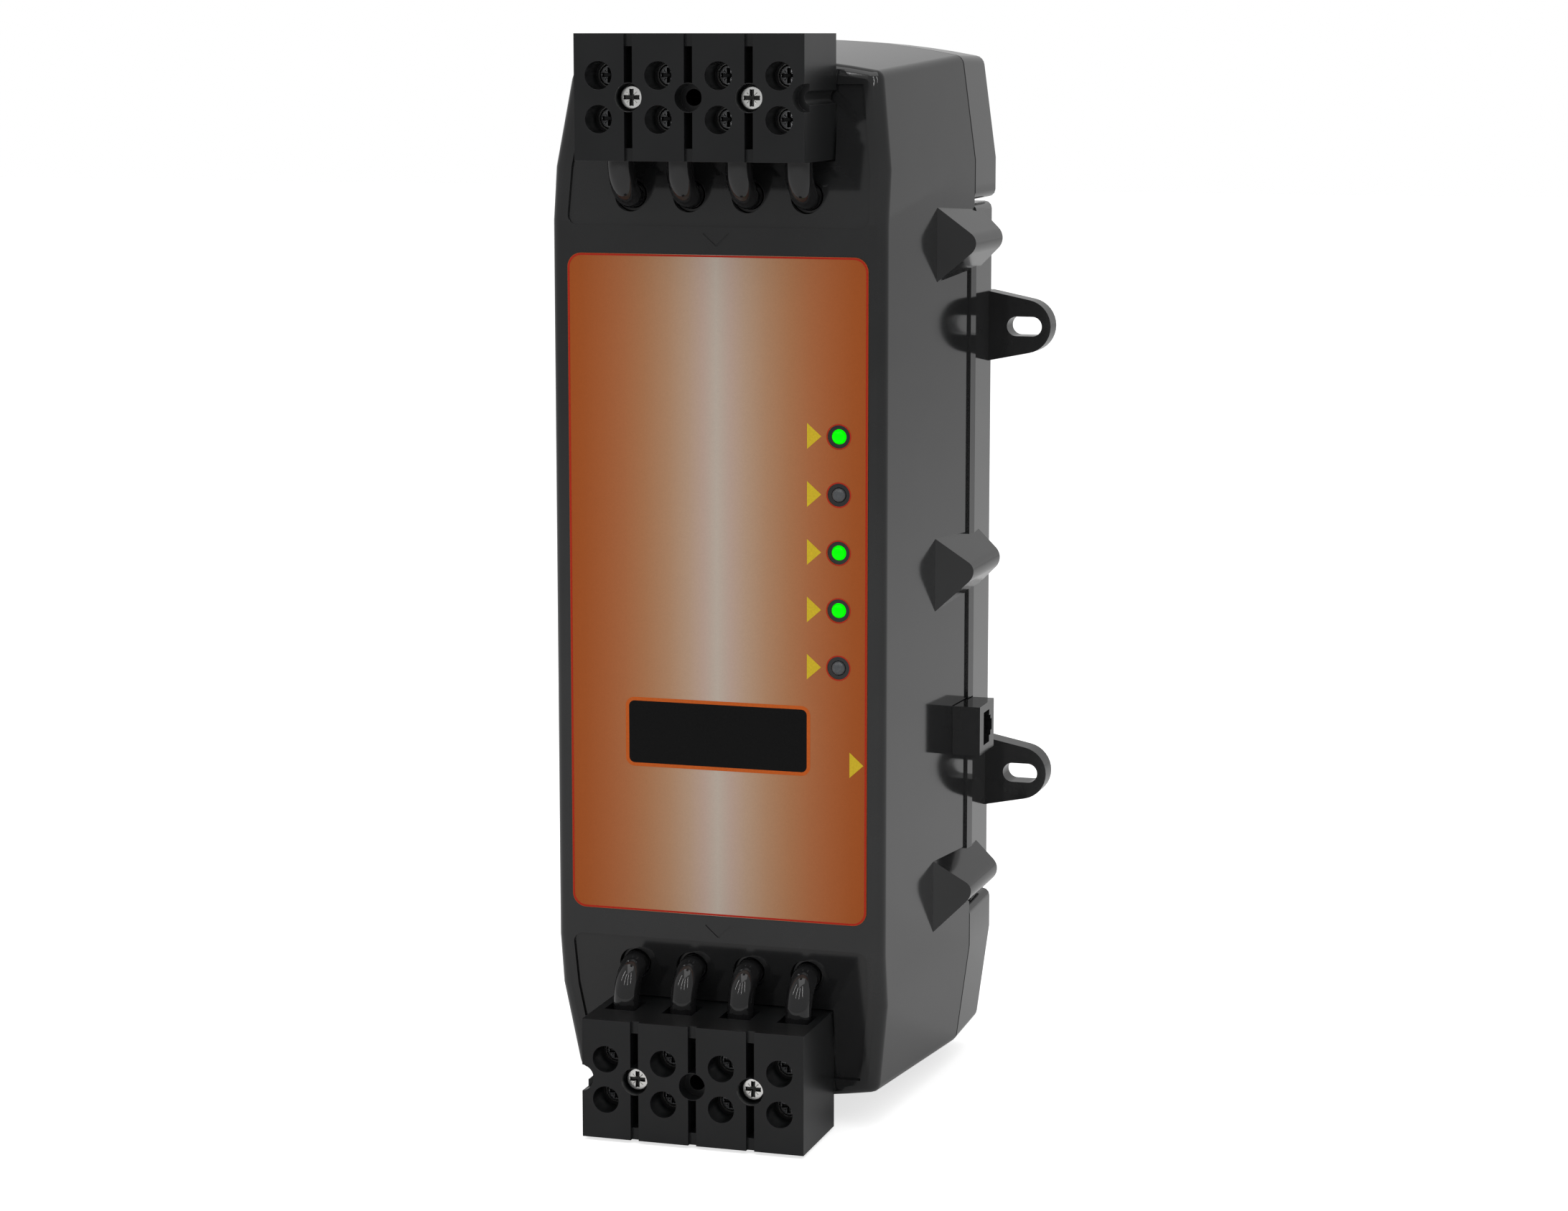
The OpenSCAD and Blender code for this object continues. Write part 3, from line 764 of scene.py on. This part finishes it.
@dataclass
class Label:
    """Film label with its printed frame, rings, arrows and dark panel, all without lettering.

    The marks lie on the film, whose front face has y = front.
    """

    palette: Palette
    ink: float = 0.04 * MM
    inset: float = 0.1 * MM
    corner: float = 4.0 * MM
    frame_width: float = 0.5 * MM
    lamp_radius: float = 3.2 * MM
    ring_gap: float = 0.02 * MM
    ring_width: float = 0.35 * MM
    arrow_x: tuple[float, float] = (26.2 * MM, 30.3 * MM)
    arrow_half: float = 3.6 * MM
    socket_arrow: tuple[float, float, float] = (38.6 * MM, 42.6 * MM, -47.5 * MM)
    panel_half: tuple[float, float] = (26.2 * MM, 8.9 * MM)
    panel_z: float = -41.4 * MM
    panel_corner: float = 1.6 * MM
    panel_frame: float = 1.0 * MM

    def build(self) -> None:
        """Dress the film and lay the printed marks on it."""
        film = frame["nodes"]["label_overlay"]
        dress(film, self.palette.film)
        low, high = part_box("label_overlay")
        front = low.y
        self.print_frame(high.x, high.z, front)
        self.print_rings(front)
        self.print_arrows(front)
        self.print_panel(front)

    def print_piece(self, name: str, grids: list[np.ndarray], wrap: bool,
                    material: bpy.types.Material) -> None:
        """Make one printed mark, a closed ring if wrap is set, and fix it to the housing."""
        piece = make_piece(name, grids, wrap_rows=wrap)
        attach(piece, ROOT)
        dress(piece, material)

    def print_frame(self, half_x: float, half_z: float, front: float) -> None:
        """Print the thin red line round the edge of a label with the given half sizes."""
        half_x, half_z = half_x - self.inset, half_z - self.inset
        width = self.frame_width
        outer = rounded_rectangle(half_x, half_z, self.corner)
        inner = rounded_rectangle(half_x - width, half_z - width, self.corner - width)
        self.print_piece("label_frame_line", [band(outer, inner, front - self.ink, front)], True,
                         self.palette.red_ink)

    def print_rings(self, front: float) -> None:
        """Print a thin red ring round each lamp hole."""
        rings = []
        circle = unit_circle(48)
        for number in LAMPS:
            x, _, z = front_middle(*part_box(f"status_lamp_{number}"))
            centre = np.array([x, z])
            inner = centre + circle * (self.lamp_radius + self.ring_gap)
            outer = centre + circle * (self.lamp_radius + self.ring_width)
            rings.append(band(outer, inner, front - self.ink, front))
        self.print_piece("label_lamp_rings", rings, True, self.palette.red_ink)

    def print_arrows(self, front: float) -> None:
        """Print the yellow arrows that point at the lamps and at the remote socket."""
        spots = [(*self.arrow_x, front_middle(*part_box(f"status_lamp_{number}"))[2])
                 for number in LAMPS]
        spots.append(self.socket_arrow)
        arrows = []
        for base, tip, z in spots:
            corners = np.array([[base, z - self.arrow_half], [tip, z],
                                [base, z + self.arrow_half]])
            edges = np.linspace(corners, np.roll(corners, -1, 0), 6, endpoint=False)
            outline = edges.transpose(1, 0, 2).reshape(-1, 2)
            arrows.append(plate(outline, front - self.ink, front))
        self.print_piece("label_arrows", arrows, False, self.palette.yellow_ink)

    def print_panel(self, front: float) -> None:
        """Print the dark panel and the orange line round it."""
        centre = (0.0, self.panel_z)
        half_x, half_z = self.panel_half
        outline = rounded_rectangle(half_x, half_z, self.panel_corner, centre)
        wide = rounded_rectangle(half_x + self.panel_frame, half_z + self.panel_frame,
                                 self.panel_corner + self.panel_frame, centre)
        self.print_piece("label_panel", [plate(outline, front - self.ink, front)], False,
                         self.palette.black_ink)
        self.print_piece("label_panel_line", [band(wide, outline, front - self.ink, front)], True,
                         self.palette.orange_ink)


@dataclass
class StatusLamps:
    """Five domed lamps in a row; the first, third and fourth are lit."""

    palette: Palette
    lit: tuple[int, ...] = (1, 3, 4)
    dome: float = 1.1 * MM
    radius: float = 1.92 * MM
    flange_radius: float = 2.5 * MM
    flange_edge: float = 0.15 * MM
    flange: tuple[float, float] = (3.9 * MM, 4.95 * MM)

    def build(self) -> None:
        """Replace each lamp by a turned lens with a rounded dome and flange."""
        for number in LAMPS:
            node = f"status_lamp_{number}"
            low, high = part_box(node)
            surface = lathe(self.profile(high.y - low.y), front_middle(low, high))
            lens = make_piece(f"lamp_lens_{number}", [surface])
            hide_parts(node)
            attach(lens, ROOT)
            bright = number in self.lit
            dress(lens, self.palette.lit if bright else self.palette.unlit)

    def profile(self, length: float) -> np.ndarray:
        """Radius and height of the lens from its tip to its back.

        The dome is r = R sin a, y = h (1 - cos a), followed by the barrel and the flange.

        Args:
            length: whole length of the lens.

        Returns:
            Rows of radius and height.
        """
        angle = np.radians(np.linspace(6, 90, 10))
        dome = np.stack([self.radius * np.sin(angle), self.dome * (1 - np.cos(angle))], -1)
        near, far = self.flange
        wide, edge = self.flange_radius, self.flange_edge
        rest = [[self.radius, near], [wide - edge, near], [wide, near + edge], [wide, far - edge],
                [wide - edge, far], [self.radius, far],
                [self.radius, length], [self.radius * 0.6, length]]
        return np.concatenate([dome, rest])


@dataclass(frozen=True)
class CrossScrew:
    """A turned screw along Y with a four-winged recess and marks between the wings."""

    head_radius: float
    head_height: float
    shank_radius: float
    wing_width: float
    wing_reach: float
    recess_depth: float
    dome: float = 0.15 * MM
    edge: float = 0.25 * MM
    mark_depth: float = 0.4 * MM
    mark_width: float = 0.16 * MM
    tip_edge: float = 0.4 * MM
    # Depths below the head's face over which painted shade darkens the recess.
    painted_recess_shade: tuple[float, float] = (0.3 * MM, 0.9 * MM)

    def grid(self, centre: Colour, length: float, count: int = 128) -> np.ndarray:
        """Surface of the screw from the middle of its head to its tip.

        The head's face is h(r, t) = dome (r / R)^2 + recess(r cos t, r sin t); the rest is a
        surface of revolution.

        Args:
            centre: front middle of the head.
            length: whole length from head to tip.
            count: points round the axis.

        Returns:
            Grid of points, one loop for each radius.
        """
        circle = unit_circle(count)
        inner = self.head_radius - self.edge
        face_r = np.linspace(0.03 * MM, inner, 34)[:, None]
        x, z = face_r * circle[:, 0], face_r * circle[:, 1]
        face_h = self.dome * (face_r / self.head_radius) ** 2 + self.recess(x, z)
        face = np.stack([x, face_h, z], -1) + np.array(centre)
        turn = np.radians([30, 60, 90])
        rim = np.stack([inner + self.edge * np.sin(turn),
                        self.dome + self.edge * (1 - np.cos(turn))], -1)
        rest = np.array([[self.head_radius, self.head_height],
                         [self.shank_radius, self.head_height],
                         [self.shank_radius, length - self.tip_edge],
                         [self.shank_radius - self.tip_edge, length]])
        return np.concatenate([face, lathe(np.concatenate([rim, rest]), centre, count)])

    def recess(self, x: np.ndarray, z: np.ndarray) -> np.ndarray:
        """Depth of the recess at a point of the head's face.

        Each wing is a strip |a| < width / 2, |b| < reach whose depth falls off outwards, and each
        mark is a thin groove on a diagonal.

        Args:
            x: distance across the head.
            z: distance up the head.

        Returns:
            Depth below the face.
        """
        soft = 0.07 * MM
        out = np.hypot(x, z)

        def strip(across: np.ndarray, along: np.ndarray) -> np.ndarray:
            """One wing pair as a value from 0 to 1."""
            inside = np.minimum(self.wing_width / 2 - np.abs(across),
                                self.wing_reach - np.abs(along))
            return np.clip(inside / soft + 0.5, 0, 1)

        wings = np.maximum(strip(x, z), strip(z, x))
        fall = self.recess_depth * (1 - 0.35 * np.clip(out / self.wing_reach, 0, 1))
        diagonal = np.minimum(np.abs(x - z), np.abs(x + z)) / math.sqrt(2)
        mark = np.clip((self.mark_width / 2 - diagonal) / soft + 0.5, 0, 1)
        mark *= np.clip((self.wing_reach * 0.95 - out) / soft, 0, 1)
        return np.maximum(wings * fall, mark * self.mark_depth)

    def sink(self, face: float) -> tuple[float, float]:
        """Heights between which painted shade darkens a recess, for a head whose front has y =
        face.
        """
        return face + self.painted_recess_shade[0], face + self.painted_recess_shade[1]


CLAMP_SCREW = CrossScrew(head_radius=2.98 * MM, head_height=0.9 * MM, shank_radius=2.9 * MM,
                         wing_width=0.95 * MM, wing_reach=2.0 * MM, recess_depth=1.7 * MM,
                         edge=0.5 * MM)
FIXING_SCREW = CrossScrew(head_radius=3.2 * MM, head_height=2.2 * MM, shank_radius=1.94 * MM,
                          wing_width=1.05 * MM, wing_reach=2.2 * MM, recess_depth=1.6 * MM)


@dataclass
class TerminalBlock:
    """A four-pole strip with its fixing screws, brass sleeves, clamp screws and saddles."""

    palette: Palette
    end: End
    edge: float = 0.22 * MM
    poles: int = 4
    nose: float = 0.6 * MM

    def build(self) -> None:
        """Round the strip's edges and dress all that sits in it."""
        word = self.end.word
        strip = softened(word + "_block", word + "_terminal_strip", self.edge)
        dress(strip, self.palette.block)
        sleeves = softened(word + "_sleeves", word + "_sleeve_set", 0.12 * MM)
        dress(sleeves, self.palette.nickel)
        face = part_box(f"{word}_outer_1_screw")[0].y
        # The clamp screws' recesses get painted shade.
        steel = PlatedMetal(f"{word}_clamp_steel", srgb(176, 177, 179), roughness=0.26,
                            sink=CLAMP_SCREW.sink(face)).material()
        for row in ("outer", "inner"):
            for pole in range(1, self.poles + 1):
                stem = f"{word}_{row}_{pole}"
                self.clamp_screw(stem + "_screw", stem + "_cross_screw", steel)
                saddle = softened(stem + "_saddle", stem + "_pad", 0.15 * MM)
                dress(saddle, self.palette.zinc)

    def clamp_screw(self, node: str, name: str, steel: bpy.types.Material) -> None:
        """Replace a clamp screw, up to its nose, by a turned one with its cross recess."""
        low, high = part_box(node)
        surface = CLAMP_SCREW.grid(front_middle(low, high), high.y - low.y - self.nose)
        screw = make_piece(name, [surface], sharp=40.0)
        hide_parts(node)
        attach(screw, frame["nodes"][node]["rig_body"])
        dress(screw, steel)


@dataclass
class BlockScrews:
    """The four plated pan head screws that hold the terminal strips to the housing."""

    palette: Palette

    def build(self) -> None:
        """Turn the four screws with their cross recess."""
        low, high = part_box("block_screws")
        reach = FIXING_SCREW.head_radius
        grids = [FIXING_SCREW.grid((x, low.y, z), high.y - low.y)
                 for x in (low.x + reach, high.x - reach) for z in (low.z + reach, high.z - reach)]
        screws = make_piece("block_screw_set", grids, sharp=40.0)
        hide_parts("block_screws")
        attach(screws, ROOT)
        # The fixing screws' recesses get painted shade.
        plating = PlatedMetal("zinc_cross_head", ZINC_COLOUR, roughness=0.24, tarnish=0.93,
                              sink=FIXING_SCREW.sink(low.y))
        dress(screws, plating.material())


@dataclass
class Wiring:
    """Sheathed wires that run from one terminal block through the bushings to the board lugs."""

    palette: Palette
    end: End
    poles: tuple[float, ...] = (-25.5 * MM, -8.5 * MM, 8.5 * MM, 25.5 * MM)
    radius: float = 3.75 * MM
    copper: float = 2.3 * MM
    front_y: float = -113.5 * MM
    rear_y: float = -69.5 * MM
    pass_z: float = 109.5 * MM
    front_bend: float = 9.0 * MM
    rear_bend: float = 10.0 * MM
    front_tail: tuple[float, float] = (3.1 * MM, 0.5 * MM)
    rear_tail: tuple[float, float] = (0.6 * MM, 2.0 * MM)
    overlap: float = 0.2 * MM
    bare_front: float = 14.5 * MM
    bare_rear: float = 9.0 * MM
    strands: int = 6
    lay: float = 22 * MM
    lobe: float = 0.09

    def build(self) -> None:
        """Sweep the sheaths and the twisted copper ends."""
        word = self.end.word
        sheaths, coppers = [], []
        for x in self.poles:
            path = self.route(x)
            sheaths.append(self.sheath(path))
            coppers += self.bare_ends(x)
        sheath = make_piece(word + "_wire_sheaths", sheaths)
        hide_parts(word + "_wires")
        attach(sheath, ROOT)
        dress(sheath, self.palette.sheath)
        copper = make_piece(word + "_wire_copper", coppers, sharp=80.0)
        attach(copper, ROOT)
        dress(copper, self.palette.copper)

    def route(self, x: float) -> np.ndarray:
        """Middle line of one sheath, from its front end to its rear end.

        It is a straight length, a quarter circle, a straight length, a quarter circle and a
        short straight length, in the plane of constant x.

        Args:
            x: the pole's place across the box.

        Returns:
            Points along the line.
        """
        bend = np.radians(np.linspace(0, 90, 16))
        top = self.pass_z + self.front_bend
        low = self.pass_z - self.rear_bend
        near, far = self.front_tail
        first = np.stack([np.full(5, self.front_y), np.linspace(top + near, top + far, 5)], -1)
        front = np.stack([self.front_y + self.front_bend * (1 - np.cos(bend)),
                          top - self.front_bend * np.sin(bend)], -1)
        start = self.front_y + self.front_bend
        stop = self.rear_y - self.rear_bend
        through = np.stack([np.linspace(start, stop, 12)[1:-1], np.full(10, self.pass_z)], -1)
        rear = np.stack([stop + self.rear_bend * np.sin(bend),
                         low + self.rear_bend * np.cos(bend)], -1)
        near, far = self.rear_tail
        last = np.stack([np.full(3, self.rear_y), np.linspace(low - near, low - far, 3)], -1)
        flat = np.concatenate([first, front, through, rear, last])
        flat[:, 1] *= self.end.value
        return np.column_stack([np.full(len(flat), x), flat])

    def sheath(self, path: np.ndarray) -> np.ndarray:
        """Round tube along a path, with softly cut ends."""
        radii = np.full(len(path), self.radius)
        radii[[0, -1]] *= 0.94
        section = np.broadcast_to(unit_circle(32), (len(path), 32, 2))
        return sweep(path, radii, section)

    def bare_ends(self, x: float) -> list[np.ndarray]:
        """Twisted copper of both ends of one wire.

        The section's radius is 1 - lobe |sin(strands (t - twist s) / 2)|, so that the strands
        show as lobes that wind round the middle line once in each lay.

        Args:
            x: the pole's place across the box.

        Returns:
            One grid for each end.
        """
        top = self.pass_z + self.front_bend + self.front_tail[0] - self.overlap
        low = self.pass_z - self.rear_bend - self.rear_tail[1] + self.overlap
        runs = [(self.front_y, top, top + self.bare_front),
                (self.rear_y, low, low - self.bare_rear)]
        grids = []
        for y, start, stop in runs:
            z = np.linspace(start, stop, 24)
            path = np.stack([np.full(24, x), np.full(24, y), z * self.end.value], -1)
            turn = np.linspace(0, 2 * np.pi, 48, endpoint=False)[None, :]
            twist = np.abs(z - start)[:, None] / self.lay * 2 * np.pi
            reach = 1 - self.lobe * np.abs(np.sin(self.strands * (turn - twist) / 2))
            section = np.stack([reach * np.cos(turn), reach * np.sin(turn)], -1)
            radii = np.full(24, self.copper)
            radii[-1] *= 0.85
            grids.append(sweep(path, radii, section))
        return grids


@dataclass
class RemoteSocket:
    """Socket for the remote display's flat plug, with its spring contacts."""

    palette: Palette

    def build(self) -> None:
        """Round the shell's edges and dress it and the contacts."""
        dress(softened("jack_shell", "socket_shell", 0.15 * MM), self.palette.case)
        dress(softened("jack_contacts", "socket_contacts", 0.0), self.palette.brass)


@dataclass
class Electronics:
    """Boards, relays, varistors and transformer inside the box."""

    palette: Palette

    def build(self) -> None:
        """Dress the parts, which keep their CAD shapes."""
        finishes = {
            "main_board": self.palette.board, "lamp_board": self.palette.board,
            "board_lugs": self.palette.brass, "relay_a": self.palette.relay,
            "relay_b": self.palette.relay, "varistors": self.palette.epoxy,
            "transformer": self.palette.laminate}
        for node, material in finishes.items():
            dress(frame["nodes"][node], material)


@dataclass
class Studio:
    """Pale floor, soft lights and the camera."""

    camera_at: Colour = (0.3185, -1.0783, 0.1541)
    azimuth: float = 17.12
    pitch: float = 8.817
    lens: float = 85.0
    surroundings: float = 0.5
    floor_gap: float = 1.0 * MM
    floor_half: float = 6.0
    floor_lift: float = 0.7
    aim: Colour = (0.0, -0.06, 0.0)
    strip_sides: tuple[float, ...] = (-56.0, -18.0, 15.0, 47.0)
    strip_distance: float = 1.25
    strip_height: float = 1.2

    def build(self) -> None:
        """Set up the world, the floor, the lights and the camera."""
        self.world()
        self.floor()
        self.lights()
        self.camera()

    def world(self) -> None:
        """Even pale surroundings: white behind the object, dimmer as light on it."""
        world = bpy.data.worlds.new("studio_world")
        world.use_nodes = True
        tree = world.node_tree
        back = tree.nodes["Background"]
        bright = tree.nodes.new("ShaderNodeBackground")
        for node, strength in ((back, self.surroundings), (bright, 1.0)):
            node.inputs["Color"].default_value = (1.0, 1.0, 1.0, 1.0)
            node.inputs["Strength"].default_value = strength
        mix = tree.nodes.new("ShaderNodeMixShader")
        path = tree.nodes.new("ShaderNodeLightPath")
        tree.links.new(path.outputs["Is Camera Ray"], mix.inputs[0])
        tree.links.new(back.outputs[0], mix.inputs[1])
        tree.links.new(bright.outputs[0], mix.inputs[2])
        tree.links.new(mix.outputs[0], tree.nodes["World Output"].inputs["Surface"])
        bpy.context.scene.world = world

    def floor(self) -> None:
        """Large pale floor just under the object."""
        low = CAD_BOX[0][2] - self.floor_gap
        half = self.floor_half
        corners = [(-half, -half, low), (half, -half, low), (half, half, low), (-half, half, low)]
        mesh = bpy.data.meshes.new("studio_floor")
        mesh.from_pydata(corners, [], [(0, 1, 2, 3)])
        floor = bpy.data.objects.new("studio_floor", mesh)
        bpy.context.scene.collection.objects.link(floor)
        graph = NodeGraph("floor_paper")
        shade = graph.ramp(graph.noise(3.0, 2.0), [(0.3, (0.84,) * 3), (0.7, (0.88,) * 3)])
        seen = graph.add("LightPath").outputs["Is Camera Ray"]
        graph.plain(Base_Color=shade, Roughness=0.9, Specular_IOR_Level=0.1,
                    Emission_Color=(1.0, 1.0, 1.0, 1.0),
                    Emission_Strength=graph.maths("MULTIPLY", seen, self.floor_lift))
        floor.data.materials.append(graph.material)

    def lights(self) -> None:
        """A large soft box above, and four narrow strips in front that draw thin highlights."""
        aim = Vector(self.aim)
        boxes = [("top_box", (0.1, -0.2, 1.6), (1.2, 1.2), 6.0)]
        for number, side in enumerate(self.strip_sides, 1):
            turn = math.radians(side)
            at = (self.strip_distance * math.sin(turn),
                  self.aim[1] - self.strip_distance * math.cos(turn), self.strip_height)
            boxes.append((f"strip_{number}", at, (0.03, 0.9), 1.8))
        for name, at, size, power in boxes:
            data = bpy.data.lights.new(name, "AREA")
            data.shape = "RECTANGLE"
            data.size, data.size_y = size
            data.energy = power
            light = bpy.data.objects.new(name, data)
            light.location = at
            light.rotation_euler = (aim - Vector(at)).to_track_quat("-Z", "Y").to_euler()
            bpy.context.scene.collection.objects.link(light)

    def camera(self) -> None:
        """Camera in front, a little to the right and above."""
        data = bpy.data.cameras.new("camera")
        data.sensor_width = 36.0
        data.lens = self.lens
        data.clip_start = 0.01
        camera = bpy.data.objects.new("camera", data)
        camera.location = self.camera_at
        camera.rotation_euler = (math.radians(90 - self.pitch), 0.0, math.radians(self.azimuth))
        bpy.context.scene.collection.objects.link(camera)
        bpy.context.scene.camera = camera
        bpy.context.scene.view_settings.view_transform = "Standard"


def main() -> None:
    """Build the studio and every sub-assembly in order."""
    logging.basicConfig(level=logging.INFO, format="%(name)s: %(message)s")
    Studio().build()
    palette = Palette()
    Enclosure(palette).build()
    Label(palette).build()
    StatusLamps(palette).build()
    for end in End:
        TerminalBlock(palette, end).build()
        Wiring(palette, end).build()
    BlockScrews(palette).build()
    RemoteSocket(palette).build()
    Electronics(palette).build()
    bpy.context.view_layer.update()


if __name__ == "__main__":
    main()
